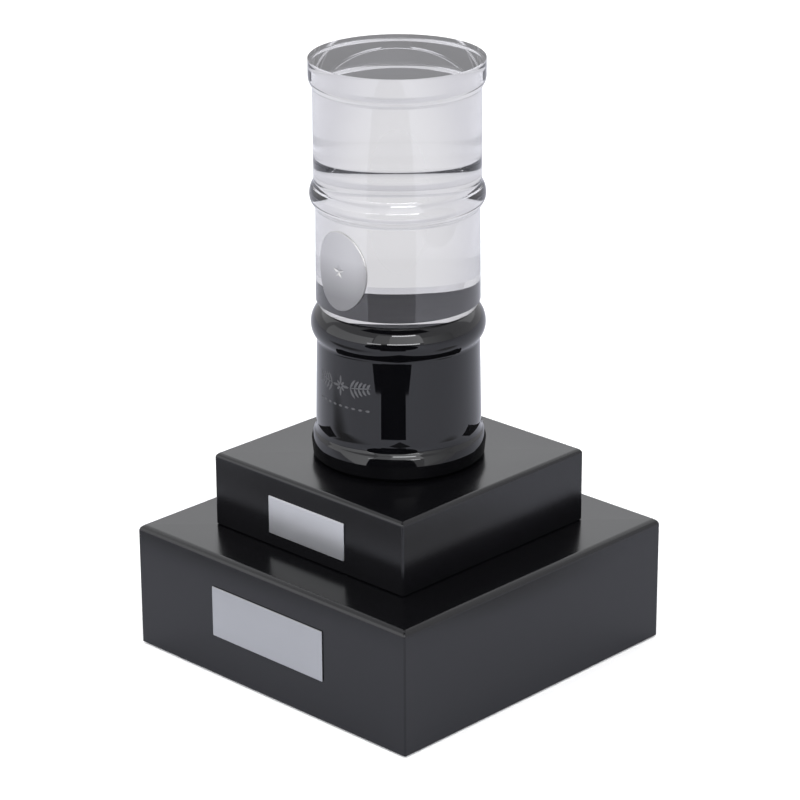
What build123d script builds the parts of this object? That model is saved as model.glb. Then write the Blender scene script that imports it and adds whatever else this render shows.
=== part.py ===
from build123d import *
import os

os.makedirs("parts", exist_ok=True)

# Column trophy, millimetres. +Z is up, the origin is the centre of the underside,
# and the engraved side with the nameplates faces -Y.

# ---- driving dimensions: plinth ------------------------------------------------
LOWER_SIDE = 150.0
LOWER_TOP_Z = 52.7
UPPER_SIDE = 105.0
UPPER_TOP_Z = 83.8
BOARD = 12.0  # thickness of the lower tier's boards
LOWER_EDGE_ROUND = 2.7
UPPER_EDGE_ROUND = 2.0
ARRIS = 0.8  # rounding of the vertical corners
SEAM_CHAMFER = 0.5  # lower edge of the upper tier
FELT = 0.8
FELT_INSET = 2.0
BASE_PANEL = 3.0
PANEL_GAP = 0.2
BLOCK_SIDE = 18.0
BLOCK_CHAMFER = 6.0

# ---- driving dimensions: column ------------------------------------------------
COLUMN_TOP_Z = 247.0
GASKET = 0.4
GASKET_RADIUS = 31.0
JOINT_Z = 147.1  # top of the black drum
BOND = 0.1
BOND_RADIUS = 30.6

FOOT_BASE_RADIUS = 34.5
FOOT_CHAMFER = 1.2
# Where the arcs of the foot's soft shoulder meet (radius, height), barrel first, wall last.
FOOT_SHOULDER = [
    (33.1, 101.5),
    (33.03, 98.6),
    (33.32, 95.6),
    (33.77, 94.65),
    (34.34, 93.45),
    (35.0, 90.6),
]
BARREL3_HIGH_RADIUS = 32.45
RING2_LOW_Z = 132.6
RING2_CROWN_Z = 139.6
RING2_RADIUS = 34.75
RING2_TOP_RADIUS = 30.9
COVE_SHARE = 0.3  # of each soft step, the part that is hollow

CLEAR_CHAMFER_TOP_Z = 149.6
CLEAR_CHAMFER_RADIUS = 31.4
BARREL2_LOW_RADIUS = 32.65
BARREL2_HIGH_RADIUS = 32.3
RING1_LOW_Z = 186.7
RING1_CROWN_Z = 192.9
RING1_HIGH_Z = 198.7
RING1_RADIUS = 34.6
BARREL1_RADIUS = 32.9
COLLAR_LOW_Z = 234.8
COLLAR_WALL_Z = 240.2
COLLAR_RADIUS = 34.5
RIM_BEVEL = 0.25

# ---- driving dimensions: fixings -----------------------------------------------
BOLT_RADIUS = 4.0
BOLT_LENGTH = 60.0
BOLT_PITCH = 1.25
BOLT_THREAD = 22.5
BOLT_HEAD_FLATS = 13.0
BOLT_HEAD = 5.3
BOLT_CLEARANCE = 4.5
WASHER_RADIUS = 12.0
WASHER_HOLE = 4.2
WASHER = 2.0
INSERT_RADIUS = 6.0
INSERT_LENGTH = 18.0
INSERT_GROOVE = 0.5
INSERT_GROOVES = 4
GLUE_GAP = 0.05
DRUM_HOLE_DEPTH = 20.0
TIER_SCREW = (2.0, 4.0, 25.0)  # shank radius, head radius, length
TIER_SCREW_SPACING = 66.0
PANEL_SCREW = (1.75, 3.5, 16.0)
SCREW_PITCH = 1.6
SCREW_GAP = 0.1
SCREW_ROOT = 0.75  # core of a wood screw, as a share of its shank's radius
SCREW_PLAIN = 0.4  # the part without thread, as a share of its length
RECESS_LENGTH = 1.1  # cross recess, as shares of the head's radius
RECESS_WIDTH = 0.22
RECESS_DEPTH = 0.4
THREAD_DEPTH = 0.6  # of the bolt's thread, as a share of its pitch
COUNTERSINK = 90

# ---- driving dimensions: medallion and nameplates ------------------------------
MEDALLION_Z = 168.0
MEDALLION_HALF_WIDTH = 12.7
MEDALLION_HALF_HEIGHT = 16.0
MEDALLION = 0.5
MEDALLION_GLUE = 0.1
MEDALLION_GLUE_INSET = 1.0
STAR_RADIUS = 3.4
STAR_WAIST = 1.4
STAR_POINTS = 5
STAR_DEPTH = 0.2
PLATE = 0.5
PLATE_TAPE = 0.1
PLATE_TAPE_INSET = 1.0
PLATE_BEVEL = 0.15
PLATE_CORNER = 0.4
UPPER_PLATE = (42.0, 16.0)
UPPER_PLATE_Z = 66.4
LOWER_PLATE = (62.0, 21.4)
LOWER_PLATE_Z = 28.5

# ---- worked out from the above -------------------------------------------------
LOWER_INNER = LOWER_SIDE - 2 * BOARD
BOARD_UNDERSIDE_Z = LOWER_TOP_Z - BOARD
UPPER_SHEET = (UPPER_TOP_Z - LOWER_TOP_Z) / 2
DRUM_BASE_Z = UPPER_TOP_Z + GASKET
CLEAR_BASE_Z = JOINT_Z + BOND
BLOCK_CENTRE = LOWER_INNER / 2 - BLOCK_SIDE / 2
BLOCK_BASE_Z = FELT + BASE_PANEL
FRONT = Plane.XZ  # its normal is -Y, towards the engraved side


def save(piece, name):
    """Label a finished piece and write it to its own STEP file."""
    piece.part.label = name
    export_step(piece.part, f"parts/{name}.step")


def barrel2_radius(z):
    """Radius of the slightly tapered barrel that carries the medallion."""
    share = (z - CLEAR_CHAMFER_TOP_Z) / (RING1_LOW_Z - CLEAR_CHAMFER_TOP_Z)
    return BARREL2_LOW_RADIUS + share * (BARREL2_HIGH_RADIUS - BARREL2_LOW_RADIUS)


def soft_step(barrel, crown):
    """Outline from a barrel out to a crown, upright at both: a cove, then a bulge."""
    towards = 1 if crown[1] > barrel[1] else -1
    meeting = tuple(near + COVE_SHARE * (far - near) for near, far in zip(barrel, crown))
    TangentArc(barrel, meeting, tangent=(0, towards))
    TangentArc(crown, meeting, tangent=(0, -towards))


def thread(root, crest, start, pitch, turns):
    """Outline points (radius, height) of a thread drawn as ridges."""
    points = []
    for turn in range(turns):
        z = start + turn * pitch
        points += [(root, z), (crest, z + pitch / 2)]
    return points + [(root, start + turns * pitch)]


# ================================ column ========================================

with BuildPart() as clear_drum:
    with BuildSketch(Plane.XZ):
        with BuildLine():
            Polyline(
                (BARREL2_LOW_RADIUS, CLEAR_CHAMFER_TOP_Z),
                (CLEAR_CHAMFER_RADIUS, CLEAR_BASE_Z),
                (0, CLEAR_BASE_Z),
                (0, COLUMN_TOP_Z),
                (COLLAR_RADIUS - RIM_BEVEL, COLUMN_TOP_Z),
                (COLLAR_RADIUS, COLUMN_TOP_Z - RIM_BEVEL),
                (COLLAR_RADIUS, COLLAR_WALL_Z),
            )
            soft_step((BARREL1_RADIUS, COLLAR_LOW_Z), (COLLAR_RADIUS, COLLAR_WALL_Z))
            Line((BARREL1_RADIUS, COLLAR_LOW_Z), (BARREL1_RADIUS, RING1_HIGH_Z))
            soft_step((BARREL1_RADIUS, RING1_HIGH_Z), (RING1_RADIUS, RING1_CROWN_Z))
            soft_step((BARREL2_HIGH_RADIUS, RING1_LOW_Z), (RING1_RADIUS, RING1_CROWN_Z))
            Line((BARREL2_HIGH_RADIUS, RING1_LOW_Z), (BARREL2_LOW_RADIUS, CLEAR_CHAMFER_TOP_Z))
        make_face()
    revolve(axis=Axis.Z)
save(clear_drum, "clear_drum")

with BuildPart() as crystal_bond:
    with BuildSketch(Plane.XY.offset(JOINT_Z)):
        Circle(BOND_RADIUS)
    extrude(amount=BOND)
save(crystal_bond, "crystal_bond")

with BuildPart() as black_drum:
    with BuildSketch(Plane.XZ):
        with BuildLine():
            Polyline(
                (RING2_TOP_RADIUS, JOINT_Z),
                (0, JOINT_Z),
                (0, DRUM_BASE_Z),
                (FOOT_BASE_RADIUS - FOOT_CHAMFER, DRUM_BASE_Z),
                (FOOT_BASE_RADIUS, DRUM_BASE_Z + FOOT_CHAMFER),
                FOOT_SHOULDER[-1],
            )
            shoulder = TangentArc(FOOT_SHOULDER[0], FOOT_SHOULDER[1], tangent=(0, -1))
            for meeting_point in FOOT_SHOULDER[2:]:
                shoulder = TangentArc(shoulder @ 1, meeting_point, tangent=shoulder % 1)
            Line(FOOT_SHOULDER[0], (BARREL3_HIGH_RADIUS, RING2_LOW_Z))
            soft_step((BARREL3_HIGH_RADIUS, RING2_LOW_Z), (RING2_RADIUS, RING2_CROWN_Z))
            TangentArc((RING2_RADIUS, RING2_CROWN_Z), (RING2_TOP_RADIUS, JOINT_Z), tangent=(0, 1))
        make_face()
    revolve(axis=Axis.Z)
    with BuildSketch(Plane.XY.offset(DRUM_BASE_Z)):
        Circle(INSERT_RADIUS)
    extrude(amount=DRUM_HOLE_DEPTH, mode=Mode.SUBTRACT)
save(black_drum, "black_drum")

with BuildPart() as drum_gasket:
    with BuildSketch(Plane.XY.offset(UPPER_TOP_Z)):
        Circle(GASKET_RADIUS)
        Circle(INSERT_RADIUS, mode=Mode.SUBTRACT)
    extrude(amount=GASKET)
save(drum_gasket, "drum_gasket")

# ================================ medallion =====================================


def curved_oval(inner_gap, thickness, half_width, half_height):
    """Oval piece bent round the medallion barrel, inner_gap off the glass."""
    low_z = MEDALLION_Z - MEDALLION_HALF_HEIGHT
    high_z = MEDALLION_Z + MEDALLION_HALF_HEIGHT
    with BuildPart() as oval:
        with BuildSketch(Plane.XZ):
            with BuildLine():
                Polyline(
                    (barrel2_radius(low_z) + inner_gap, low_z),
                    (barrel2_radius(low_z) + inner_gap + thickness, low_z),
                    (barrel2_radius(high_z) + inner_gap + thickness, high_z),
                    (barrel2_radius(high_z) + inner_gap, high_z),
                    close=True,
                )
            make_face()
        revolve(axis=Axis.Z)
        with BuildSketch(FRONT):
            with Locations((0, MEDALLION_Z)):
                Ellipse(half_width, half_height)
        extrude(amount=COLLAR_RADIUS, mode=Mode.INTERSECT)
    return oval


medallion_glue = curved_oval(
    0,
    MEDALLION_GLUE,
    MEDALLION_HALF_WIDTH - MEDALLION_GLUE_INSET,
    MEDALLION_HALF_HEIGHT - MEDALLION_GLUE_INSET,
)
save(medallion_glue, "medallion_adhesive")

medallion_blank = curved_oval(
    MEDALLION_GLUE, MEDALLION, MEDALLION_HALF_WIDTH, MEDALLION_HALF_HEIGHT
)
medallion_face = barrel2_radius(MEDALLION_Z) + MEDALLION_GLUE + MEDALLION

with BuildPart() as medallion:
    add(medallion_blank.part)
    with BuildSketch(FRONT.offset(medallion_face - STAR_DEPTH)):
        with Locations((0, MEDALLION_Z)):
            for point in range(STAR_POINTS):
                Triangle(
                    a=2 * STAR_WAIST, b=STAR_RADIUS, c=STAR_RADIUS,
                    rotation=point * 360 / STAR_POINTS,
                    align=(Align.CENTER, Align.MIN),
                )
    extrude(amount=MEDALLION, mode=Mode.SUBTRACT)
save(medallion, "medallion")

# ================================ drum fixing ===================================

with BuildPart() as drum_insert:
    groove_step = INSERT_LENGTH / (2 * INSERT_GROOVES + 1)
    with BuildSketch(Plane.XY.offset(DRUM_BASE_Z)):
        Circle(INSERT_RADIUS - GLUE_GAP)
    extrude(amount=INSERT_LENGTH)
    for groove in range(INSERT_GROOVES):
        with BuildSketch(Plane.XY.offset(DRUM_BASE_Z + (2 * groove + 1) * groove_step)):
            Circle(INSERT_RADIUS)
            Circle(INSERT_RADIUS - INSERT_GROOVE, mode=Mode.SUBTRACT)
        extrude(amount=groove_step, mode=Mode.SUBTRACT)
    with BuildSketch(Plane.XY.offset(DRUM_BASE_Z)):
        Circle(BOLT_RADIUS + GLUE_GAP)
    extrude(amount=INSERT_LENGTH, mode=Mode.SUBTRACT)
save(drum_insert, "drum_insert")

with BuildPart() as drum_bolt_washer:
    with BuildSketch(Plane.XY.offset(BOARD_UNDERSIDE_Z - WASHER)):
        Circle(WASHER_RADIUS)
        Circle(WASHER_HOLE, mode=Mode.SUBTRACT)
    extrude(amount=WASHER)
save(drum_bolt_washer, "drum_bolt_washer")

with BuildPart() as drum_bolt:
    seat_z = BOARD_UNDERSIDE_Z - WASHER
    tip_z = seat_z + BOLT_LENGTH
    root = BOLT_RADIUS - THREAD_DEPTH * BOLT_PITCH
    with BuildSketch(Plane.XY.offset(seat_z - BOLT_HEAD)):
        RegularPolygon(BOLT_HEAD_FLATS / 2, 6, major_radius=False)
    extrude(amount=BOLT_HEAD)
    with BuildSketch(Plane.XZ):
        with BuildLine():
            Polyline(
                (0, seat_z),
                (BOLT_RADIUS, seat_z),
                (BOLT_RADIUS, tip_z - BOLT_THREAD - BOLT_PITCH),
                *thread(
                    root, BOLT_RADIUS, tip_z - BOLT_THREAD, BOLT_PITCH,
                    round(BOLT_THREAD / BOLT_PITCH),
                ),
                (0, tip_z),
                close=True,
            )
        make_face()
    revolve(axis=Axis.Z)
save(drum_bolt, "drum_bolt")

# ================================ upper tier ====================================

with BuildPart() as upper_tier_bottom_board:
    with BuildSketch(Plane.XY.offset(LOWER_TOP_Z)):
        RectangleRounded(UPPER_SIDE, UPPER_SIDE, ARRIS)
    extrude(amount=UPPER_SHEET)
    chamfer(upper_tier_bottom_board.faces().sort_by(Axis.Z)[0].edges(), SEAM_CHAMFER)
    with BuildSketch(Plane.XY.offset(LOWER_TOP_Z)):
        Circle(BOLT_CLEARANCE)
    extrude(amount=UPPER_SHEET, mode=Mode.SUBTRACT)
    with BuildSketch(Plane.XY.offset(LOWER_TOP_Z)):
        with GridLocations(TIER_SCREW_SPACING, TIER_SCREW_SPACING, 2, 2):
            Circle(TIER_SCREW[0] + SCREW_GAP)
    extrude(amount=TIER_SCREW[2] - BOARD + SCREW_GAP, mode=Mode.SUBTRACT)
save(upper_tier_bottom_board, "upper_tier_bottom_board")

with BuildPart() as upper_tier_top_board:
    with BuildSketch(Plane.XY.offset(LOWER_TOP_Z + UPPER_SHEET)):
        RectangleRounded(UPPER_SIDE, UPPER_SIDE, ARRIS)
    extrude(amount=UPPER_SHEET)
    fillet(upper_tier_top_board.faces().sort_by(Axis.Z)[-1].edges(), UPPER_EDGE_ROUND)
    with BuildSketch(Plane.XY.offset(LOWER_TOP_Z + UPPER_SHEET)):
        Circle(BOLT_CLEARANCE)
    extrude(amount=UPPER_SHEET, mode=Mode.SUBTRACT)
save(upper_tier_top_board, "upper_tier_top_board")

# ================================ lower tier ====================================

with BuildPart() as lower_tier_top_board:
    with BuildSketch(Plane.XY.offset(BOARD_UNDERSIDE_Z)):
        RectangleRounded(LOWER_SIDE, LOWER_SIDE, ARRIS)
    extrude(amount=BOARD)
    fillet(lower_tier_top_board.faces().sort_by(Axis.Z)[-1].edges(), LOWER_EDGE_ROUND)
    with BuildSketch(Plane.XY.offset(BOARD_UNDERSIDE_Z)):
        Circle(BOLT_CLEARANCE)
    extrude(amount=BOARD, mode=Mode.SUBTRACT)
    with Locations(lower_tier_top_board.faces().sort_by(Axis.Z)[0]):
        with GridLocations(TIER_SCREW_SPACING, TIER_SCREW_SPACING, 2, 2):
            CounterSinkHole(
                TIER_SCREW[0] + SCREW_GAP,
                TIER_SCREW[1] + SCREW_GAP,
                counter_sink_angle=COUNTERSINK,
            )
save(lower_tier_top_board, "lower_tier_top_board")

# The four walls are mitred: each is the quarter of a square tube between two diagonals.
WALLS = {"front": 0, "right": 90, "back": 180, "left": 270}
for side, angle in WALLS.items():
    with BuildPart() as wall:
        with BuildSketch(Plane.XY.offset(FELT).rotated((0, 0, angle))):
            RectangleRounded(LOWER_SIDE, LOWER_SIDE, ARRIS)
            Rectangle(LOWER_INNER, LOWER_INNER, mode=Mode.SUBTRACT)
            Polygon(
                (0, 0), (-LOWER_SIDE, -LOWER_SIDE), (LOWER_SIDE, -LOWER_SIDE), mode=Mode.INTERSECT
            )
        extrude(amount=BOARD_UNDERSIDE_Z - FELT)
    save(wall, f"lower_tier_{side}_wall")

# Glue blocks in the inner corners, each with a chamfer towards the middle.
CORNERS = {"front_left": 0, "front_right": 90, "back_right": 180, "back_left": 270}
for corner, angle in CORNERS.items():
    with BuildPart() as block:
        with BuildSketch(Plane.XY.offset(BLOCK_BASE_Z).rotated((0, 0, angle))):
            near = -LOWER_INNER / 2
            far = near + BLOCK_SIDE
            Polygon(
                (near, near),
                (far, near),
                (far, far - BLOCK_CHAMFER),
                (far - BLOCK_CHAMFER, far),
                (near, far),
            )
        extrude(amount=BOARD_UNDERSIDE_Z - BLOCK_BASE_Z)
        with BuildSketch(Plane.XY.offset(BLOCK_BASE_Z).rotated((0, 0, angle))):
            with Locations((-BLOCK_CENTRE, -BLOCK_CENTRE)):
                Circle(PANEL_SCREW[0] + SCREW_GAP)
        extrude(amount=PANEL_SCREW[2] - BASE_PANEL + SCREW_GAP, mode=Mode.SUBTRACT)
    save(block, f"corner_block_{corner}")

with BuildPart() as base_panel:
    with BuildSketch(Plane.XY.offset(FELT)):
        Rectangle(LOWER_INNER - 2 * PANEL_GAP, LOWER_INNER - 2 * PANEL_GAP)
    extrude(amount=BASE_PANEL)
    with Locations(base_panel.faces().sort_by(Axis.Z)[0]):
        with GridLocations(2 * BLOCK_CENTRE, 2 * BLOCK_CENTRE, 2, 2):
            CounterSinkHole(
                PANEL_SCREW[0] + SCREW_GAP,
                PANEL_SCREW[1] + SCREW_GAP,
                counter_sink_angle=COUNTERSINK,
            )
save(base_panel, "base_panel")

with BuildPart() as felt_pad:
    with BuildSketch(Plane.XY):
        RectangleRounded(LOWER_SIDE - 2 * FELT_INSET, LOWER_SIDE - 2 * FELT_INSET, FELT_INSET)
    extrude(amount=FELT)
save(felt_pad, "felt_pad")

# ================================ wood screws ===================================


def wood_screw(shank_radius, head_radius, length):
    """Countersunk cross-head screw: head down at z = 0, point up."""
    root = SCREW_ROOT * shank_radius
    thread_start = SCREW_PLAIN * length
    tip = 2 * shank_radius
    turns = int((length - tip - thread_start) / SCREW_PITCH)
    with BuildPart() as screw:
        with BuildSketch(Plane.XZ):
            with BuildLine():
                Polyline(
                    (0, 0),
                    (head_radius, 0),
                    (shank_radius, head_radius - shank_radius),
                    (shank_radius, thread_start - SCREW_PITCH / 2),
                    *thread(root, shank_radius, thread_start, SCREW_PITCH, turns),
                    (0, length),
                    close=True,
                )
            make_face()
        revolve(axis=Axis.Z)
        with BuildSketch(Plane.XY):
            Rectangle(RECESS_LENGTH * head_radius, RECESS_WIDTH * head_radius)
            Rectangle(RECESS_WIDTH * head_radius, RECESS_LENGTH * head_radius)
        extrude(amount=RECESS_DEPTH * head_radius, mode=Mode.SUBTRACT)
    return screw.part


tier_screw = wood_screw(*TIER_SCREW)
with BuildPart(Plane.XY.offset(BOARD_UNDERSIDE_Z)) as tier_screws:
    with GridLocations(TIER_SCREW_SPACING, TIER_SCREW_SPACING, 2, 2):
        add(tier_screw)
save(tier_screws, "tier_screws")

panel_screw = wood_screw(*PANEL_SCREW)
with BuildPart(Plane.XY.offset(FELT)) as base_panel_screws:
    with GridLocations(2 * BLOCK_CENTRE, 2 * BLOCK_CENTRE, 2, 2):
        add(panel_screw)
save(base_panel_screws, "base_panel_screws")

# ================================ nameplates ====================================

PLATES = {
    "upper": (UPPER_PLATE, UPPER_PLATE_Z, UPPER_SIDE / 2),
    "lower": (LOWER_PLATE, LOWER_PLATE_Z, LOWER_SIDE / 2),
}
for tier, ((width, height), centre_z, face) in PLATES.items():
    with BuildPart() as tape:
        with BuildSketch(FRONT.offset(face)):
            with Locations((0, centre_z)):
                Rectangle(width - 2 * PLATE_TAPE_INSET, height - 2 * PLATE_TAPE_INSET)
        extrude(amount=PLATE_TAPE)
    save(tape, f"{tier}_nameplate_tape")

    with BuildPart() as plate:
        with BuildSketch(FRONT.offset(face + PLATE_TAPE)):
            with Locations((0, centre_z)):
                RectangleRounded(width, height, PLATE_CORNER)
        extrude(amount=PLATE)
        chamfer(plate.faces().sort_by(Axis.Y)[0].edges(), PLATE_BEVEL)
    save(plate, f"{tier}_nameplate")
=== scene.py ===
import math
import random

import bmesh
import bpy
from mathutils import Matrix, Vector


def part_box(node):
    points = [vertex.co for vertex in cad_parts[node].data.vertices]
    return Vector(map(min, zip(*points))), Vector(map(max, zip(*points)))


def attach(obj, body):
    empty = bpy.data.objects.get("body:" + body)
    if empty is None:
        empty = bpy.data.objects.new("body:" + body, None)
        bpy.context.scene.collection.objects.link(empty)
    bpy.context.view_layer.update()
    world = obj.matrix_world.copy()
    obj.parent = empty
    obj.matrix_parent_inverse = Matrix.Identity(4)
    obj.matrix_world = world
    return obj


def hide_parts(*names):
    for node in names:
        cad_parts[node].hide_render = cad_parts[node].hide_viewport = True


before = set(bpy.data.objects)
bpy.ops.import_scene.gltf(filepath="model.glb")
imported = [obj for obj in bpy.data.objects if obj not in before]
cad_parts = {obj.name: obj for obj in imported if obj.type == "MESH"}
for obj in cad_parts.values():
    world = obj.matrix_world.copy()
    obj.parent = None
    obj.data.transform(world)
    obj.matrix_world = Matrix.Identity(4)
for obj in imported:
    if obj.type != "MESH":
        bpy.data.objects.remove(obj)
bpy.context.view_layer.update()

# Column trophy, in metres. +Z is up, the origin is the centre of the underside, and the
# side with the medallion and the nameplates faces -Y.

MM = 0.001
ARC_STEPS = 28
TURN_STEPS = 256
SHARP_ANGLE = math.radians(6)
WELD_DISTANCE = 1e-7
RANDOM_SEED = 7

# ---- column: radii, and heights where the frame doesn't give them ------------------
# Rings and barrels are numbered from the top.
FOOT_BASE_RADIUS = 34.5 * MM
FOOT_CHAMFER = 1.2 * MM
# Where the arcs of the foot's soft shoulder meet (radius, height), barrel first, wall last.
FOOT_SHOULDER = [
    (33.1 * MM, 101.5 * MM),
    (33.03 * MM, 98.6 * MM),
    (33.32 * MM, 95.6 * MM),
    (33.77 * MM, 94.65 * MM),
    (34.34 * MM, 93.45 * MM),
    (35.0 * MM, 90.6 * MM),
]
BARREL3_HIGH_RADIUS = 32.45 * MM
RING2_LOW_Z = 132.6 * MM
RING2_CROWN_Z = 139.6 * MM
RING2_RADIUS = 34.75 * MM
RING2_TOP_RADIUS = 30.9 * MM
COVE_SHARE = 0.3  # of each soft step, the part that is hollow
CLEAR_CHAMFER_TOP_Z = 149.6 * MM
CLEAR_CHAMFER_RADIUS = 31.4 * MM
BARREL2_LOW_RADIUS = 32.65 * MM
BARREL2_HIGH_RADIUS = 32.3 * MM
RING1_LOW_Z = 186.7 * MM
RING1_CROWN_Z = 192.9 * MM
RING1_HIGH_Z = 198.7 * MM
RING1_RADIUS = 34.6 * MM
BARREL1_RADIUS = 32.9 * MM
COLLAR_LOW_Z = 234.8 * MM
COLLAR_WALL_Z = 240.2 * MM
COLLAR_RADIUS = 34.5 * MM
RIM_BEVEL = 0.25 * MM
DRUM_HOLE_RADIUS = 6.0 * MM
DRUM_HOLE_DEPTH = 20.0 * MM
WETTED = 0.05 * MM  # how far a film that sticks to the crystal reaches into it

# ---- plinth ------------------------------------------------------------------------
LOWER_EDGE_ROUND = 2.7 * MM
UPPER_EDGE_ROUND = 2.0 * MM
ARRIS = 0.8 * MM
SEAM_CHAMFER = 0.5 * MM
BOLT_CLEARANCE = 4.5 * MM
TIER_SCREW_HOLE = 2.1 * MM
TIER_SCREW_SINK = 4.1 * MM
TIER_SCREW_SPACING = 66.0 * MM
TIER_SCREW_DEPTH = 13.1 * MM
EDGE_STEPS = 12  # along the rounded upper edge of a board
ARRIS_STEPS = 3  # along each half of a wall's eased corner
WALL_TO_PANEL = 0.2 * MM  # gap round the base panel
FELT_SIDE_STEPS = 60
FELT_NAP = 0.06 * MM  # how uneven the felt's cut edge is
FELT_SOFT_EDGE = (0.2 * MM, 0.24 * MM)  # inwards and upwards

# ---- medallion and nameplates ------------------------------------------------------
STAR_RADIUS = 3.1 * MM
STAR_BASE = 1.4 * MM  # half the width of a star's point where it leaves the centre
STAR_POINTS = 5
STAR_DEPTH = 0.35 * MM
STAR_SHARES = (0.02, 0.25, 0.5, 0.75, 1.0)  # of the way from the star's centre to its edge
MEDALLION_THICKNESS = 0.5 * MM
GLUE_THICKNESS = 0.1 * MM
MEDALLION_EDGE = 0.2 * MM  # radius of its eased edge
OVAL_STEPS = 40 * STAR_POINTS  # round the medallion
FACE_STEPS = 12  # from the star to the rim
RIM_STEPS = 4  # over the eased edge
BACK_STEPS = 8  # from the rim to the centre of the back
MEDALLION_PAINTED_SHADE = (157 * MM, 173 * MM)  # heights over which the painted shade, full below, gives way to the full tone
GRAIN_AND_PAINTED_SHADE_TONE = 0.5  # tone at the dark end of the grain and of the painted shade, as a share of the full tone
PLATE_BEVEL = 0.15 * MM
PLATE_CORNER = 0.4 * MM

# ---- etched ornament, under the medallion on the black barrel ----------------------
SPRIG_Z = 120.8 * MM
STEM_START = 4.6 * MM
STEM_END = 14.0 * MM
STEM_RISE = 1.2 * MM
STEM_WIDTH = 0.45 * MM
LEAVES = 5
FIRST_LEAF = 5.0 * MM
LEAF_SPACING = 1.9 * MM
LEAF_RISE = 0.2 * MM  # from each leaf's root to the next
LEAF_LENGTH = 4.4 * MM
LEAF_LOSS = 0.5 * MM  # how much shorter each leaf is than the one before it
LEAF_LEAN = (0.5, 0.86)  # outwards and upwards, as shares of a leaf's length
LEAF_WIDTH = 0.85 * MM
LEAF_BOW = 0.25 * MM
PETALS = 8
PETAL_REACH = 4.2 * MM
SHORT_PETAL = 0.6  # reach of every other petal, as a share of the long ones
PETAL_ROOT = 0.15  # the part of a petal's reach that is left open in the middle
PETAL_WIDTH = 0.9 * MM
LOZENGES_EACH_SIDE = 4
LOZENGE_Z = 112.5 * MM
LOZENGE_SPACING = 3.2 * MM
LOZENGE_HALF_LENGTH = 0.9 * MM
LOZENGE_WIDTH = 0.8 * MM
STROKE_STEPS = 10
STROKE_TIP = 0.05 * MM  # half the width of a stroke at its ends
STROKE_FULLNESS = 0.7  # under 1, a stroke swells faster near its tips
FROST_LIFT = 0.03 * MM  # how far the frost stands off the glass

# ---- what the frame gives ----------------------------------------------------------
column_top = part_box("clear_drum")[1].z
clear_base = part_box("clear_drum")[0].z
black_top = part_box("black_drum")[1].z
black_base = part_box("black_drum")[0].z


# ================================ mesh helpers ======================================


def arc(start, end, tangent):
    """Points of the arc that leaves start along tangent and ends at end, start left out."""
    start, end = Vector(start), Vector(end)
    along = Vector(tangent).normalized()
    across = Vector((-along.y, along.x))
    chord = end - start
    radius = chord.length_squared / (2 * chord.dot(across))
    centre = start + radius * across
    spoke = start - centre
    sweep = spoke.angle_signed(end - centre)
    return [
        tuple(centre + Matrix.Rotation(-sweep * step / ARC_STEPS, 2) @ spoke)
        for step in range(1, ARC_STEPS + 1)
    ]


def shoulder(points, tangent):
    """Arcs through the points; each leaves the way the one before it arrived."""
    outline = [points[0]]
    heading = Vector(tangent)
    for start, end in zip(points, points[1:]):
        outline += arc(start, end, heading)
        chord = (Vector(end) - Vector(start)).normalized()
        heading = 2 * heading.dot(chord) * chord - heading
    return outline


def soft_step(barrel, crown):
    """Points from a barrel out to a crown, upright at both: a cove, then a bulge."""
    towards = 1 if crown[1] > barrel[1] else -1
    meeting = Vector(barrel).lerp(Vector(crown), COVE_SHARE)
    out = [barrel] + arc(barrel, meeting, (0, towards))
    back = [crown] + arc(crown, meeting, (0, -towards))
    return out + back[-2::-1]


def lathe(bm, outline):
    """Turns an outline of (radius, height) points about the Z axis into a closed skin."""
    turns = [2 * math.pi * step / TURN_STEPS for step in range(TURN_STEPS)]
    rings = []
    for radius, z in outline:
        spokes = turns if radius > 0 else [0]
        rings.append(
            [bm.verts.new((radius * math.cos(t), radius * math.sin(t), z)) for t in spokes]
        )
    pairs = list(zip(rings, rings[1:]))
    if len(rings[0]) > 1 and len(rings[-1]) > 1:
        pairs.append((rings[-1], rings[0]))
    for lower, upper in pairs:
        for step in range(TURN_STEPS):
            after = (step + 1) % TURN_STEPS
            corners = (
                lower[step % len(lower)],
                lower[after % len(lower)],
                upper[after % len(upper)],
                upper[step % len(upper)],
            )
            bm.faces.new(list(dict.fromkeys(corners)))


def loop(bm, points):
    """A closed loop of vertices."""
    return [bm.verts.new(point) for point in points]


def skin(bm, loops):
    """Quads between loops that have the same number of points."""
    for lower, upper in zip(loops, loops[1:]):
        count = len(lower)
        for step in range(count):
            after = (step + 1) % count
            bm.faces.new((lower[step], lower[after], upper[after], upper[step]))


def cover(bm, *loops):
    """A flat face inside the first loop, with the other loops as holes in it."""
    edges = []
    for verts in loops:
        for one, other in zip(verts, verts[1:] + verts[:1]):
            edges.append(bm.edges.get((one, other)) or bm.edges.new((one, other)))
    bmesh.ops.triangle_fill(bm, edges=edges, use_beauty=True)


def rounded_rectangle(half_x, half_y, corner, steps=6):
    """Points round a rectangle with rounded corners, about the origin."""
    points = []
    for quarter, (sx, sy) in enumerate(((1, 1), (-1, 1), (-1, -1), (1, -1))):
        for step in range(steps + 1):
            turn = (quarter + step / steps) * math.pi / 2
            x = sx * (half_x - corner) + corner * math.cos(turn)
            y = sy * (half_y - corner) + corner * math.sin(turn)
            points.append((x, y))
    return points


def circle(centre, radius, steps=48):
    """Points round a circle."""
    turns = [2 * math.pi * step / steps for step in range(steps)]
    return [(centre[0] + radius * math.cos(t), centre[1] + radius * math.sin(t)) for t in turns]


def at_height(points, z):
    """Flat points lifted to a height."""
    return [(x, y, z) for x, y in points]


def front_of(node):
    """Half the width, half the height and the middle height of a node."""
    low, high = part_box(node)
    return (high.x - low.x) / 2, (high.z - low.z) / 2, (low.z + high.z) / 2


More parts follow.
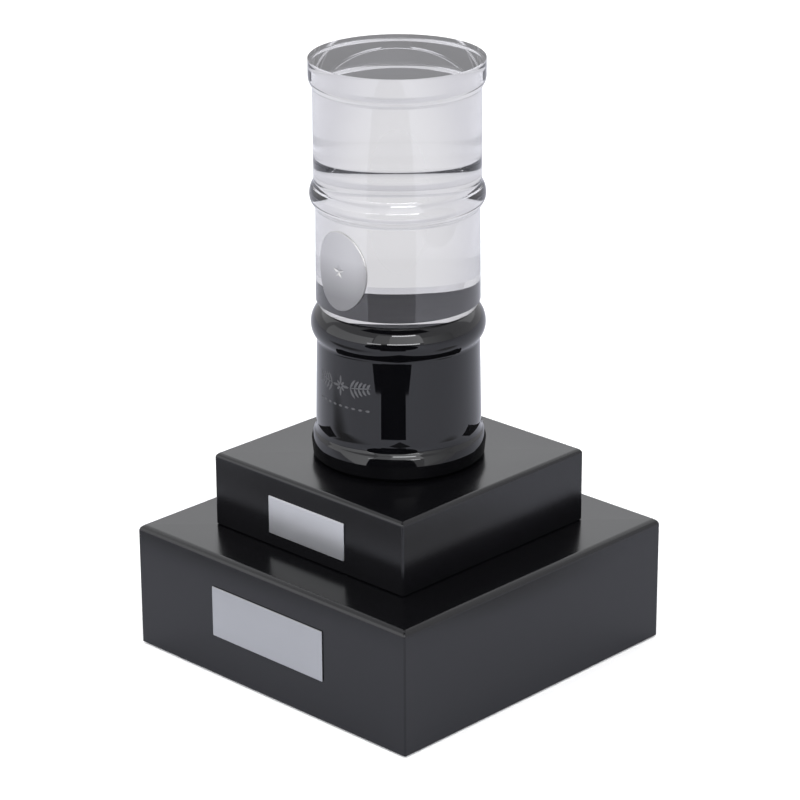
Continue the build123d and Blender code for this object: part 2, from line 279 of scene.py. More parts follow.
def piece(name, bm, material, slot, *stands_for):
    """Makes an object of a finished mesh, which rides on the part and replaces CAD nodes."""
    bmesh.ops.remove_doubles(bm, verts=bm.verts, dist=WELD_DISTANCE)
    bmesh.ops.recalc_face_normals(bm, faces=bm.faces)
    mesh = bpy.data.meshes.new(name)
    bm.to_mesh(mesh)
    bm.free()
    mesh.shade_smooth()
    mesh.set_sharp_from_angle(angle=SHARP_ANGLE)
    mesh.materials.append(material)
    made = bpy.data.objects.new(name, mesh)
    bpy.context.scene.collection.objects.link(made)
    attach(made, "root")
    if stands_for:
        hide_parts(*stands_for)


# ================================ materials =========================================


SPECK_CORE = 0.6  # the part of a speck's radius inside which it is solid


class Recipe:
    """A Principled material, with short ways to add the nodes that vary it."""

    def __init__(self, name, **settings):
        self.material = bpy.data.materials.new(name)
        self.material.use_nodes = True
        self.nodes = self.material.node_tree.nodes
        self.links = self.material.node_tree.links
        self.shader = self.nodes["Principled BSDF"]
        self.place = self.nodes.new("ShaderNodeTexCoord").outputs["Object"]
        for socket, value in settings.items():
            self.shader.inputs[socket.replace("_", " ")].default_value = value

    def stretched(self, scale):
        """The object's own coordinates, scaled along each axis."""
        mapping = self.nodes.new("ShaderNodeMapping")
        mapping.inputs["Scale"].default_value = scale
        self.links.new(self.place, mapping.inputs["Vector"])
        return mapping.outputs["Vector"]

    def noise(self, scale, detail=3.0, rough=0.5, stretch=(1, 1, 1)):
        """A noise pattern; scale is in features per metre."""
        texture = self.nodes.new("ShaderNodeTexNoise")
        texture.inputs["Scale"].default_value = scale
        texture.inputs["Detail"].default_value = detail
        texture.inputs["Roughness"].default_value = rough
        self.links.new(self.stretched(stretch), texture.inputs["Vector"])
        return texture.outputs["Fac"]

    def specks(self, scale, size):
        """Small round specks, about scale of them per metre; size is their radius in cells."""
        texture = self.nodes.new("ShaderNodeTexVoronoi")
        texture.inputs["Scale"].default_value = scale
        self.links.new(self.place, texture.inputs["Vector"])
        return self.ramp(texture.outputs["Distance"], (size * SPECK_CORE, 1.0), (size, 0.0))

    def height(self):
        """Height over the part's underside, in metres."""
        parts = self.nodes.new("ShaderNodeSeparateXYZ")
        self.links.new(self.place, parts.inputs[0])
        return parts.outputs["Z"]

    def ramp(self, value, low, high):
        """Remaps value from the places to the results that low and high give."""
        node = self.nodes.new("ShaderNodeMapRange")
        node.inputs["From Min"].default_value = low[0]
        node.inputs["From Max"].default_value = high[0]
        node.inputs["To Min"].default_value = low[1]
        node.inputs["To Max"].default_value = high[1]
        self.links.new(value, node.inputs["Value"])
        return node.outputs["Result"]

    def times(self, one, other):
        """The product of two values."""
        node = self.nodes.new("ShaderNodeMath")
        node.operation = "MULTIPLY"
        self.links.new(one, node.inputs[0])
        self.links.new(other, node.inputs[1])
        return node.outputs[0]

    def colour(self, value, dark, light):
        """Sets the colour from dark, where value is 0, to light, where it is 1."""
        node = self.nodes.new("ShaderNodeMix")
        node.data_type = "RGBA"
        node.inputs["A"].default_value = (*dark, 1)
        node.inputs["B"].default_value = (*light, 1)
        self.links.new(value, node.inputs["Factor"])
        self.links.new(node.outputs["Result"], self.shader.inputs["Base Color"])

    def roughness(self, value, low, high):
        """Sets the roughness from low, where value is 0, to high, where it is 1."""
        self.links.new(self.ramp(value, (0, low), (1, high)), self.shader.inputs["Roughness"])

    def bump(self, value, height):
        """Raises the surface by height, in metres, where value is 1."""
        node = self.nodes.new("ShaderNodeBump")
        node.inputs["Distance"].default_value = height
        self.links.new(value, node.inputs["Height"])
        self.links.new(node.outputs["Normal"], self.shader.inputs["Normal"])


def crystal():
    """Clear optical crystal, cast a little grey, with faint wipe marks in its polish."""
    made = Recipe("clear_crystal", IOR=1.5, Transmission_Weight=1.0)
    wiped = made.noise(90, detail=4, stretch=(1, 1, 0.4))
    made.colour(wiped, (0.82, 0.815, 0.825), (0.84, 0.835, 0.845))
    made.roughness(wiped, 0.0, 0.006)
    return made.material


def black_crystal():
    """Opaque black crystal, highly polished."""
    made = Recipe("black_crystal", IOR=1.5)
    wiped = made.noise(120, detail=5, stretch=(1, 1, 0.4))
    made.colour(wiped, (0.0015, 0.0015, 0.002), (0.003, 0.003, 0.0035))
    made.roughness(wiped, 0.015, 0.05)
    return made.material


def bond():
    """Cured dark adhesive, wetted to the crystal, so it mirrors next to nothing."""
    made = Recipe("bond", Specular_IOR_Level=0.0)
    swirl = made.noise(160, detail=4)
    made.colour(swirl, (0.155, 0.155, 0.165), (0.185, 0.185, 0.195))
    made.roughness(swirl, 0.5, 0.6)
    return made.material


def lacquer():
    """Black semi-gloss lacquer: fine ripple, a few dust specks, uneven sheen."""
    made = Recipe("black_lacquer", IOR=1.5)
    sheen = made.noise(40, detail=5)
    dust = made.specks(420, 0.05)
    made.colour(dust, (0.0025, 0.0025, 0.0032), (0.03, 0.03, 0.033))
    made.roughness(sheen, 0.17, 0.23)
    made.bump(made.noise(500, detail=2), 0.004 * MM)
    return made.material


def satin_metal(name, tone, brushed, painted_shade=None):
    """Silver sheet metal with a fine satin grain along one axis, darkened below given heights by
    painted shade.
    """
    made = Recipe(name, Metallic=1.0, Anisotropic=0.4)
    grain = made.noise(1800, detail=6, rough=0.7, stretch=brushed)
    grain_and_painted_shade = made.ramp(grain, (0, 0.9), (1, 1.0))
    # Painted shade: the metal's tone is darkened below the given heights.
    if painted_shade:
        grain_and_painted_shade = made.times(grain_and_painted_shade, made.ramp(made.height(), (painted_shade[0], 0.0), (painted_shade[1], 1.0)))
    grain_and_shade_dark = tuple(channel * GRAIN_AND_PAINTED_SHADE_TONE for channel in tone)
    made.colour(grain_and_painted_shade, grain_and_shade_dark, tone)
    made.roughness(grain, 0.3, 0.42)
    made.bump(grain, 0.003 * MM)
    return made.material


def etched():
    """Sandblasted crystal: a fine pale frost."""
    made = Recipe("etched_crystal", IOR=1.5)
    grit = made.noise(9000, detail=2)
    made.colour(grit, (0.045, 0.045, 0.048), (0.085, 0.085, 0.09))
    made.roughness(grit, 0.6, 0.8)
    return made.material


def grained(name, dark, light, stretch, low=0.55, high=0.8, scale=300, relief=0.04 * MM):
    """A dull material whose colour, roughness and relief follow one grain."""
    made = Recipe(name)
    grain = made.noise(scale, detail=6, rough=0.65, stretch=stretch)
    made.colour(grain, dark, light)
    made.roughness(grain, low, high)
    made.bump(grain, relief)
    return made.material


def machined(name, dark, light):
    """Bright turned or plated metal with fine tool marks round the Z axis."""
    made = Recipe(name, Metallic=1.0)
    marks = made.noise(700, detail=4, stretch=(1, 1, 5))
    made.colour(marks, dark, light)
    made.roughness(marks, 0.2, 0.4)
    made.bump(marks, 0.01 * MM)
    return made.material


clear_crystal = crystal()
opaque_crystal = black_crystal()
bond_film = bond()
black_lacquer = lacquer()
# Both nameplates are one satin silver. Their two tones are painted light and shade, with the
# lower plate darker.
plate_silver_lit_and_shaded = {
    "upper": satin_metal("upper_plate_metal", (0.93, 0.935, 0.94), (0.12, 1, 1)),
    "lower": satin_metal("lower_plate_metal", (0.53, 0.535, 0.535), (0.12, 1, 1)),
}
# The medallion's metal carries a painted shade, darker towards its bottom.
medal_silver = satin_metal("medal_metal", (0.62, 0.61, 0.595), (1, 1, 0.12), MEDALLION_PAINTED_SHADE)
frost = etched()
rubber = grained("gasket_rubber", (0.012, 0.012, 0.012), (0.022, 0.022, 0.022), (1, 1, 1))
tape = grained("adhesive_tape", (0.05, 0.05, 0.05), (0.07, 0.07, 0.07), (1, 1, 1))
softwood = grained("softwood", (0.50, 0.34, 0.19), (0.74, 0.57, 0.38), (1, 1, 0.08))
fibreboard = grained(
    "bare_fibreboard", (0.34, 0.23, 0.14), (0.46, 0.34, 0.22), (1, 1, 1), scale=1500
)
wool_felt = grained(
    "black_felt",
    (0.012, 0.012, 0.013),
    (0.05, 0.05, 0.052),
    (1, 1, 0.4),
    low=0.85,
    high=1.0,
    scale=2500,
    relief=0.2 * MM,
)
brass = machined("machined_brass", (0.60, 0.44, 0.20), (0.74, 0.58, 0.30))
zinc = machined("zinc_plate", (0.52, 0.52, 0.50), (0.66, 0.66, 0.64))


# ================================ column ============================================


def barrel2_radius(z):
    """Radius of the slightly tapered barrel that carries the medallion."""
    share = (z - CLEAR_CHAMFER_TOP_Z) / (RING1_LOW_Z - CLEAR_CHAMFER_TOP_Z)
    return BARREL2_LOW_RADIUS + share * (BARREL2_HIGH_RADIUS - BARREL2_LOW_RADIUS)


def make_clear_drum():
    """Clear crystal: bevelled rim, collar, barrel, ring, barrel, chamfered foot."""
    crown = (RING1_RADIUS, RING1_CROWN_Z)
    outline = [
        (0, clear_base),
        (CLEAR_CHAMFER_RADIUS, clear_base),
        (BARREL2_LOW_RADIUS, CLEAR_CHAMFER_TOP_Z),
        *soft_step((BARREL2_HIGH_RADIUS, RING1_LOW_Z), crown),
        *soft_step((BARREL1_RADIUS, RING1_HIGH_Z), crown)[-2::-1],
        *soft_step((BARREL1_RADIUS, COLLAR_LOW_Z), (COLLAR_RADIUS, COLLAR_WALL_Z)),
        (COLLAR_RADIUS, column_top - RIM_BEVEL),
        (COLLAR_RADIUS - RIM_BEVEL, column_top),
        (0, column_top),
    ]
    bm = bmesh.new()
    lathe(bm, outline)
    piece("clear_crystal_drum", bm, clear_crystal, "clear_crystal", "clear_drum")


def make_bond():
    """The adhesive film between the drums, which wets the underside of the clear one."""
    low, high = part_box("crystal_bond")
    bm = bmesh.new()
    lathe(bm, [(0, low.z), (high.x, low.z), (high.x, high.z + WETTED), (0, high.z + WETTED)])
    piece("crystal_bond_film", bm, bond_film, "bond", "crystal_bond")


def make_black_drum():
    """Black crystal: chamfered foot ring, barrel, upper ring, blind hole for the insert."""
    crown = (RING2_RADIUS, RING2_CROWN_Z)
    outline = [
        (0, black_base + DRUM_HOLE_DEPTH),
        (DRUM_HOLE_RADIUS, black_base + DRUM_HOLE_DEPTH),
        (DRUM_HOLE_RADIUS, black_base),
        (FOOT_BASE_RADIUS - FOOT_CHAMFER, black_base),
        (FOOT_BASE_RADIUS, black_base + FOOT_CHAMFER),
        *shoulder(FOOT_SHOULDER, (0, -1))[::-1],
        *soft_step((BARREL3_HIGH_RADIUS, RING2_LOW_Z), crown),
        *arc(crown, (RING2_TOP_RADIUS, black_top), (0, 1)),
        (0, black_top),
    ]
    bm = bmesh.new()
    lathe(bm, outline)
    piece("black_crystal_drum", bm, opaque_crystal, "black_crystal", "black_drum")


make_clear_drum()
make_bond()
make_black_drum()


# ================================ medallion =========================================


def star_edge(turn):
    """How far the star reaches in a direction, measured from its upright point."""
    sector = 2 * math.pi / STAR_POINTS
    off = abs((turn + sector / 2) % sector - sector / 2)
    return 1 / (math.sin(off) / STAR_BASE + math.cos(off) / STAR_RADIUS)


def on_barrel(x, z, lift):
    """The point straight in front of (x, z), lift off the medallion's barrel."""
    radius = barrel2_radius(z) + lift
    return (x, -math.sqrt(radius**2 - x**2), z)


def curved_oval(bm, half_width, half_height, centre_z, stations):
    """An oval bent round the barrel, closed at the centre of its face and of its back.

    A station is a share of the way out, the function that places it, and its lift.
    """
    loops = []
    for share, edge, lift in stations:
        points = []
        for step in range(OVAL_STEPS):
            turn = 2 * math.pi * step / OVAL_STEPS
            rim = Vector((half_width * math.sin(turn), half_height * math.cos(turn)))
            star = star_edge(turn) * Vector((math.sin(turn), math.cos(turn)))
            place = edge(star, rim, share)
            points.append(on_barrel(place.x, centre_z + place.y, lift))
        loops.append(loop(bm, points))
    skin(bm, loops)
    for verts, lift in ((loops[0], stations[0][-1]), (loops[-1], stations[-1][-1])):
        middle = bm.verts.new(on_barrel(0, centre_z, lift))
        for one, other in zip(verts, verts[1:] + verts[:1]):
            bm.faces.new((one, other, middle))


def in_star(star, rim, share):
    """A share of the way from the centre to the star's edge."""
    return star * share


def to_rim(star, rim, share):
    """A share of the way from the star's edge to the rim."""
    return star.lerp(rim, share)


def in_rim(star, rim, share):
    """A share of the way from the centre to the rim."""
    return rim * share


def make_medallion():
    """Oval silver medallion with an eased edge and a faceted star sunk in its middle."""
    half_width, half_height, centre_z = front_of("medallion")
    face = GLUE_THICKNESS + MEDALLION_THICKNESS
    stations = [(share, in_star, face - (1 - share) * STAR_DEPTH) for share in STAR_SHARES]
    stations += [(step / FACE_STEPS, to_rim, face) for step in range(1, FACE_STEPS)]
    for step in range(RIM_STEPS + 1):
        turn = step / RIM_STEPS * math.pi / 2
        inset = MEDALLION_EDGE / half_width * (1 - math.sin(turn))
        stations.append((1 - inset, in_rim, face - MEDALLION_EDGE * (1 - math.cos(turn))))
    stations += [(step / BACK_STEPS, in_rim, GLUE_THICKNESS) for step in range(BACK_STEPS, 0, -1)]
    bm = bmesh.new()
    curved_oval(bm, half_width, half_height, centre_z, stations)
    piece("oval_medallion", bm, medal_silver, "medal_metal", "medallion")


def make_medallion_glue():
    """The adhesive under the medallion, which wets the barrel."""
    shares = [step / BACK_STEPS for step in range(1, BACK_STEPS + 1)]
    stations = [(share, in_rim, GLUE_THICKNESS) for share in shares]
    stations += [(share, in_rim, -WETTED) for share in reversed(shares)]
    bm = bmesh.new()
    curved_oval(bm, *front_of("medallion_adhesive"), stations)
    piece("medallion_glue", bm, tape, "adhesive", "medallion_adhesive")


make_medallion()
make_medallion_glue()


# ================================ etched ornament ===================================


def on_black_barrel(across, z, lift):
    """The point that far round the black barrel from its front, lift off the glass."""
    foot_radius, foot_z = FOOT_SHOULDER[0]
    share = (z - foot_z) / (RING2_LOW_Z - foot_z)
    radius = foot_radius + share * (BARREL3_HIGH_RADIUS - foot_radius)
    turn = across / radius
    return ((radius + lift) * math.sin(turn), -(radius + lift) * math.cos(turn), z)


def stroke(bm, start, end, width, bow=0.0):
    """A frosted stroke, thickest in its middle and pointed at both ends."""
    start, end = Vector(start), Vector(end)
    side = (end - start).orthogonal().normalized()
    loops = []
    for step in range(STROKE_STEPS + 1):
        share = step / STROKE_STEPS
        swell = 4 * share * (1 - share)
        middle = start.lerp(end, share) + swell * bow * side
        reach = side * (STROKE_TIP + swell**STROKE_FULLNESS * width / 2)
        right, left = middle + reach, middle - reach
        places = [(right, FROST_LIFT), (left, FROST_LIFT), (left, -WETTED), (right, -WETTED)]
        loops.append(loop(bm, [on_black_barrel(*place, lift) for place, lift in places]))
    skin(bm, loops)
    bm.faces.new(loops[0])
    bm.faces.new(loops[-1])


def add_rosette(bm):
    """Petals round the sprig's middle, long and short by turns."""
    for petal in range(PETALS):
        turn = 2 * math.pi * petal / PETALS
        reach = PETAL_REACH if petal % 2 == 0 else SHORT_PETAL * PETAL_REACH
        x, rise = reach * math.sin(turn), reach * math.cos(turn)
        root = (PETAL_ROOT * x, SPRIG_Z + PETAL_ROOT * rise)
        stroke(bm, root, (x, SPRIG_Z + rise), PETAL_WIDTH)


def add_branch(bm, side):
    """A stem on one side of the rosette, with pairs of leaves that get shorter."""
    stem_end = (side * STEM_END, SPRIG_Z + STEM_RISE)
    stroke(bm, (side * STEM_START, SPRIG_Z), stem_end, STEM_WIDTH)
    out, rise = LEAF_LEAN
    for leaf in range(LEAVES):
        x = side * (FIRST_LEAF + leaf * LEAF_SPACING)
        z = SPRIG_Z + leaf * LEAF_RISE
        length = LEAF_LENGTH - leaf * LEAF_LOSS
        for up in (-1, 1):
            tip = (x + side * out * length, z + up * rise * length)
            stroke(bm, (x, z), tip, LEAF_WIDTH, LEAF_BOW * up * side)


def make_ornament():
    """A leafy sprig with a rosette, over a row of lozenges, both sandblasted."""
    bm = bmesh.new()
    add_rosette(bm)
    for side in (-1, 1):
        add_branch(bm, side)
    piece("etched_sprig", bm, frost, "black_crystal")

    bm = bmesh.new()
    for place in range(-LOZENGES_EACH_SIDE, LOZENGES_EACH_SIDE + 1):
        x = place * LOZENGE_SPACING
        left, right = x - LOZENGE_HALF_LENGTH, x + LOZENGE_HALF_LENGTH
        stroke(bm, (left, LOZENGE_Z), (right, LOZENGE_Z), LOZENGE_WIDTH)
    piece("etched_lozenges", bm, frost, "black_crystal")


make_ornament()


# ================================ plinth ============================================


def bore(bm, centre, profile, blind=False):
    """The wall of a round hole along (radius, height) points; returns its end loops."""
    loops = [loop(bm, at_height(circle(centre, radius), z)) for radius, z in profile]
    skin(bm, loops)
    if blind:
        bm.faces.new(loops[-1])
    return loops[0], loops[-1]


def eased_board(bm, half, low, high, top_round, bottom_chamfer, through, blind):
    """A square board with a rounded upper edge and a chamfered lower one."""
    stations = [(0, low)]
    if bottom_chamfer:
        stations = [(bottom_chamfer, low), (0, low + bottom_chamfer)]
    if top_round:
        for step in range(EDGE_STEPS + 1):
            turn = step / EDGE_STEPS * math.pi / 2
            inset = top_round * (1 - math.cos(turn))
            stations.append((inset, high - top_round * (1 - math.sin(turn))))
    else:
        stations.append((0, high))
    loops = [
        loop(bm, at_height(rounded_rectangle(half - inset, half - inset, ARRIS), z))
        for inset, z in stations
    ]
    skin(bm, loops)
    ends = [bore(bm, centre, profile) for centre, profile in through]
    pockets = [bore(bm, centre, profile, blind=True) for centre, profile in blind]
    cover(bm, loops[0], *[bottom for bottom, top in ends + pockets])
    cover(bm, loops[-1], *[top for bottom, top in ends])


def screw_places():
    """Centres of the four screws that join the tiers."""
    reach = TIER_SCREW_SPACING / 2
    return [(x, y) for x in (-reach, reach) for y in (-reach, reach)]


def make_boards():
    """The three square boards of the two tiers."""
    for node, top_round, chamfer in (
        ("upper_tier_top_board", UPPER_EDGE_ROUND, 0),
        ("upper_tier_bottom_board", 0, SEAM_CHAMFER),
        ("lower_tier_top_board", LOWER_EDGE_ROUND, 0),
    ):
        low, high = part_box(node)
        through = [((0, 0), [(BOLT_CLEARANCE, low.z), (BOLT_CLEARANCE, high.z)])]
        blind = []
        for centre in screw_places():
            if node == "lower_tier_top_board":
                sink = TIER_SCREW_SINK - TIER_SCREW_HOLE
                profile = [
                    (TIER_SCREW_SINK, low.z),
                    (TIER_SCREW_HOLE, low.z + sink),
                    (TIER_SCREW_HOLE, high.z),
                ]
                through.append((centre, profile))
            elif node == "upper_tier_bottom_board":
                depth = low.z + TIER_SCREW_DEPTH
                blind.append((centre, [(TIER_SCREW_HOLE, low.z), (TIER_SCREW_HOLE, depth)]))
        bm = bmesh.new()
        eased_board(bm, high.x, low.z, high.z, top_round, chamfer, through, blind)
        piece(node + "_lacquered", bm, black_lacquer, "black_lacquer", node)


def make_walls():
    """The lower tier's four mitred walls, each with half an eased corner at both ends."""
    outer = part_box("lower_tier_top_board")[1].x
    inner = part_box("base_panel")[1].x + WALL_TO_PANEL
    centre = outer - ARRIS
    eased = []
    for step in range(ARRIS_STEPS, -1, -1):
        turn = math.pi / 4 * (1 - step / ARRIS_STEPS)
        eased.append((centre + ARRIS * math.sin(turn), -centre - ARRIS * math.cos(turn)))
    right_half = [*eased, (inner, -inner)]
    outline = [(-x, y) for x, y in reversed(right_half)] + right_half
    for quarter, side in enumerate(("front", "right", "back", "left")):
        node = f"lower_tier_{side}_wall"
        low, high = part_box(node)
        spin = Matrix.Rotation(quarter * math.pi / 2, 2)
        turned = [tuple(spin @ Vector(point)) for point in outline]
        bm = bmesh.new()
        ends = [loop(bm, at_height(turned, z)) for z in (low.z, high.z)]
        skin(bm, ends)
        for end in ends:
            bm.faces.new(end)
        piece(node + "_lacquered", bm, black_lacquer, "black_lacquer", node)


def make_felt():
    """The felt pad: a soft-edged sheet with a slightly uneven nap."""
    low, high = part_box("felt_pad")
    nap = random.Random(RANDOM_SEED)
    inset, rise = FELT_SOFT_EDGE
    stations = [(inset, low.z), (0, low.z + rise), (0, high.z - rise), (inset, high.z)]
    bm = bmesh.new()
    loops = []
    for inset, z in stations:
        half = high.x - inset
        points = []
        for step in range(4 * FELT_SIDE_STEPS):
            quarter, along = divmod(step / FELT_SIDE_STEPS, 1)
            ragged = half - abs(nap.gauss(0, FELT_NAP))
            point = Vector((ragged, half * (2 * along - 1)))
            point = Matrix.Rotation(quarter * math.pi / 2, 2) @ point
            points.append((point.x, point.y, z))
        loops.append(loop(bm, points))
    skin(bm, loops)
    cover(bm, loops[0])
    cover(bm, loops[-1])
    piece("felt_base", bm, wool_felt, "felt", "felt_pad")


make_boards()
make_walls()
make_felt()


# ================================ nameplates ========================================


def make_nameplate(tier):
    """A blank plate with eased corners and a small bevel round its face."""
    node = f"{tier}_nameplate"
    low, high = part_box(node)
    half_x, half_z, centre_z = front_of(node)
    bm = bmesh.new()
    loops = []
    for inset, y in ((0, high.y), (0, low.y + PLATE_BEVEL), (PLATE_BEVEL, low.y)):
        points = rounded_rectangle(half_x - inset, half_z - inset, PLATE_CORNER)
        loops.append(loop(bm, [(x, y, centre_z + z) for x, z in points]))
    skin(bm, loops)
    bm.faces.new(loops[0])
    bm.faces.new(loops[-1])
    piece(node + "_satin", bm, plate_silver_lit_and_shaded[tier], "plate_metal", node)


for tier in ("upper", "lower"):
    make_nameplate(tier)


# ================================ CAD nodes that stay ===============================


def dress(material, *nodes):
    """Gives CAD nodes their material."""
    for node in nodes:
        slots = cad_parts[node].data.materials
        slots.clear()
        slots.append(material)


dress(rubber, "drum_gasket")
dress(tape, "upper_nameplate_tape", "lower_nameplate_tape")
dress(brass, "drum_insert")
dress(zinc, "drum_bolt", "drum_bolt_washer", "tier_screws", "base_panel_screws")
dress(fibreboard, "base_panel")
dress(softwood, *[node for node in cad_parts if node.startswith("corner_block")])


# ================================ studio ============================================

CAMERA_PLACE = Vector((0.8121, -0.8391, 0.5541))
CAMERA_AIM = Vector((0.0004, 0.0003, 0.1056))
CAMERA_ROLL = math.radians(-0.291)
LENS = 140.66  # millimetres, like the sensor
SENSOR_WIDTH = 36
STUDIO_CENTRE = Vector((0, 0, 0.12))
FLOOR_RADIUS = 12.0
CARD_STEPS = 16
COOL_WHITE = (0.97, 0.98, 1.0, 1)
BLACK = (0, 0, 0, 1)
KEPT_OUTSIDE = 0.2  # share of a light kept in a mirror seen in a mirror
KEPT_INSIDE = 0.5  # the same, for mirrors seen through the crystal
ANY_BOUNCE = 0.5  # ray depths are whole numbers, and these lie between them
SECOND_BOUNCE = 1.5
MAT_WHITE = (0.98, 0.98, 1.0, 1)
MAT_Z = 0.3 * MM
MAT_SOFTNESS = 0.7  # the outer part of a mat's reach over which it fades away

# Glowing cards: azimuths, elevations (degrees, see bearing), distance, strength at either side.
CARDS = {
    "front_softbox": ((-12, 32), (8, 46), 1.2, 2.4, 2.9),
    "dim_softbox": ((-32, -12), (8, 46), 1.2, 1.5, 1.6),
    "lower_strip": ((-14, 27), (4, 7.5), 1.1, 15, 15),
    "lower_strip_left": ((-40, -22), (3, 6.5), 1.1, 9, 9),
    "upper_strip": ((-10, 27), (44, 48.5), 1.1, 15, 15),
    "left_wall": ((-105, -34), (-2, 30), 1.4, 1.5, 2.3),
    "right_wall": ((32, 75), (0, 30), 1.4, 1.4, 0.7),
    "back_wall": ((115, 245), (18.5, 45), 5.0, 1.5, 1.5),
}
# Black flags: azimuths, elevations, distance, whether round.
FLAGS = {
    "front_opening": ((-42, 24), (-22, 6), 0.38, True),
    "near_flag": ((-23, 9), (-22.3, -16.5), 0.27, False),
    "dark_ceiling": ((-70, 55), (52, 89), 0.9, False),
}
# Soft patches on the floor: centre, reach along X and Y, strength. Seen only in mirrors.
MATS = {
    "left_mat": ((-0.130, -0.205), (0.19, 0.072), 0.22),
    "right_mat": ((0.188, 0.080), (0.060, 0.085), 0.4),
}
FAR_POOL = ((-0.440, 0.454), (0.50, 0.50), 0.89)  # seen through the crystal, not in mirrors


def make_camera():
    """The camera, in front and to the right, a little above."""
    data = bpy.data.cameras.new("camera")
    data.lens = LENS
    data.sensor_width = SENSOR_WIDTH
    camera = bpy.data.objects.new("camera", data)
    bpy.context.scene.collection.objects.link(camera)
    look = (CAMERA_AIM - CAMERA_PLACE).to_track_quat("-Z", "Y").to_matrix()
    roll = Matrix.Rotation(CAMERA_ROLL, 3, "Z")
    camera.matrix_world = Matrix.Translation(CAMERA_PLACE) @ (look @ roll).to_4x4()
    bpy.context.scene.camera = camera


def bearing(azimuth, elevation):
    """Unit vector to a place in the studio; azimuth is degrees to the camera's right."""
    front = math.atan2(CAMERA_PLACE.y, CAMERA_PLACE.x)
    turn, rise = front + math.radians(azimuth), math.radians(elevation)
    return Vector(
        (math.cos(turn) * math.cos(rise), math.sin(turn) * math.cos(rise), math.sin(rise))
    )


def node_maths(nodes, links, operation, one, other):
    """The output of a maths node on two inputs, each a socket or a number."""
    node = nodes.new("ShaderNodeMath")
    node.operation = operation
    for value, socket in zip((one, other), node.inputs):
        if isinstance(value, (int, float)):
            socket.default_value = value
        else:
            links.new(value, socket)
    return node.outputs[0]


def second_mirror(nodes, links):
    """What a light keeps in a mirror seen in a mirror, as through a polarising filter."""
    rays = nodes.new("ShaderNodeLightPath").outputs
    again = node_maths(nodes, links, "GREATER_THAN", rays["Glossy Depth"], SECOND_BOUNCE)
    inside = node_maths(nodes, links, "GREATER_THAN", rays["Transmission Depth"], ANY_BOUNCE)
    spared = node_maths(nodes, links, "MULTIPLY", inside, KEPT_INSIDE - KEPT_OUTSIDE)
    lost = node_maths(nodes, links, "SUBTRACT", 1 - KEPT_OUTSIDE, spared)
    lost_again = node_maths(nodes, links, "MULTIPLY", again, lost)
    return node_maths(nodes, links, "SUBTRACT", 1.0, lost_again)


def emission(name, left, right, tint):
    """A glowing material whose strength runs from left to right across the card."""
    material = bpy.data.materials.new(name)
    material.use_nodes = True
    nodes, links = material.node_tree.nodes, material.node_tree.links
    nodes.clear()
    glow = nodes.new("ShaderNodeEmission")
    glow.inputs["Color"].default_value = tint
    across = nodes.new("ShaderNodeSeparateXYZ")
    links.new(nodes.new("ShaderNodeTexCoord").outputs["UV"], across.inputs[0])
    strength = nodes.new("ShaderNodeMapRange")
    strength.inputs["To Min"].default_value = left
    strength.inputs["To Max"].default_value = right
    links.new(across.outputs["X"], strength.inputs["Value"])
    keep = second_mirror(nodes, links)
    kept = node_maths(nodes, links, "MULTIPLY", strength.outputs["Result"], keep)
    links.new(kept, glow.inputs["Strength"])
    output = nodes.new("ShaderNodeOutputMaterial")
    links.new(glow.outputs[0], output.inputs["Surface"])
    return material


def in_disc(across, up):
    """Moves a point of the unit square onto the disc that just fits in the square."""
    a, b = 2 * across - 1, 2 * up - 1
    a, b = a * math.sqrt(1 - b * b / 2), b * math.sqrt(1 - a * a / 2)
    return (a + 1) / 2, (b + 1) / 2


def stand_in_studio(name, bm, material):
    """Makes a stage piece of a finished mesh, which the camera doesn't see."""
    mesh = bpy.data.meshes.new(name)
    bm.to_mesh(mesh)
    bm.free()
    mesh.materials.append(material)
    made = bpy.data.objects.new(name, mesh)
    bpy.context.scene.collection.objects.link(made)
    made.visible_camera = False
    return made


def card(name, azimuths, elevations, distance, material, is_round=False):
    """A curved studio card that spans these bearings, seen in reflections, not refracted."""
    bm = bmesh.new()
    uv = bm.loops.layers.uv.new("across")
    grid = {}
    for column in range(CARD_STEPS + 1):
        for row in range(CARD_STEPS + 1):
            across, up = column / CARD_STEPS, row / CARD_STEPS
            if is_round:
                across, up = in_disc(across, up)
            azimuth = azimuths[0] + across * (azimuths[1] - azimuths[0])
            elevation = elevations[0] + up * (elevations[1] - elevations[0])
            place = STUDIO_CENTRE + distance * bearing(azimuth, elevation)
            grid[column, row] = (bm.verts.new(place), across)
    for column in range(CARD_STEPS):
        for row in range(CARD_STEPS):
            corners = [(column, row), (column + 1, row), (column + 1, row + 1), (column, row + 1)]
            face = bm.faces.new([grid[corner][0] for corner in corners])
            for corner, face_loop in zip(corners, face.loops):
                face_loop[uv].uv = (grid[corner][1], 0)
    made = stand_in_studio(name, bm, material)
    made.visible_transmission = False
    return made


def flag(name, azimuths, elevations, distance, is_round):
    """A black card, seen only in reflections, which shades nothing."""
    made = card(name, azimuths, elevations, distance, emission(name, 0, 0, BLACK), is_round)
    made.visible_diffuse = False
    made.visible_shadow = False
    return made


def by_ray(nodes, links, usual, seen):
    """A colour that is the usual one, except to the kinds of ray that seen lists."""
    rays = nodes.new("ShaderNodeLightPath")
    chosen = nodes.new("ShaderNodeRGB")
    chosen.outputs[0].default_value = (*usual, 1)
    result = chosen.outputs[0]
    for kind, colour in seen.items():
        mix = nodes.new("ShaderNodeMix")
        mix.data_type = "RGBA"
        mix.inputs["B"].default_value = (*colour, 1)
        links.new(result, mix.inputs["A"])
        links.new(rays.outputs[kind], mix.inputs["Factor"])
        result = mix.outputs["Result"]
    return result


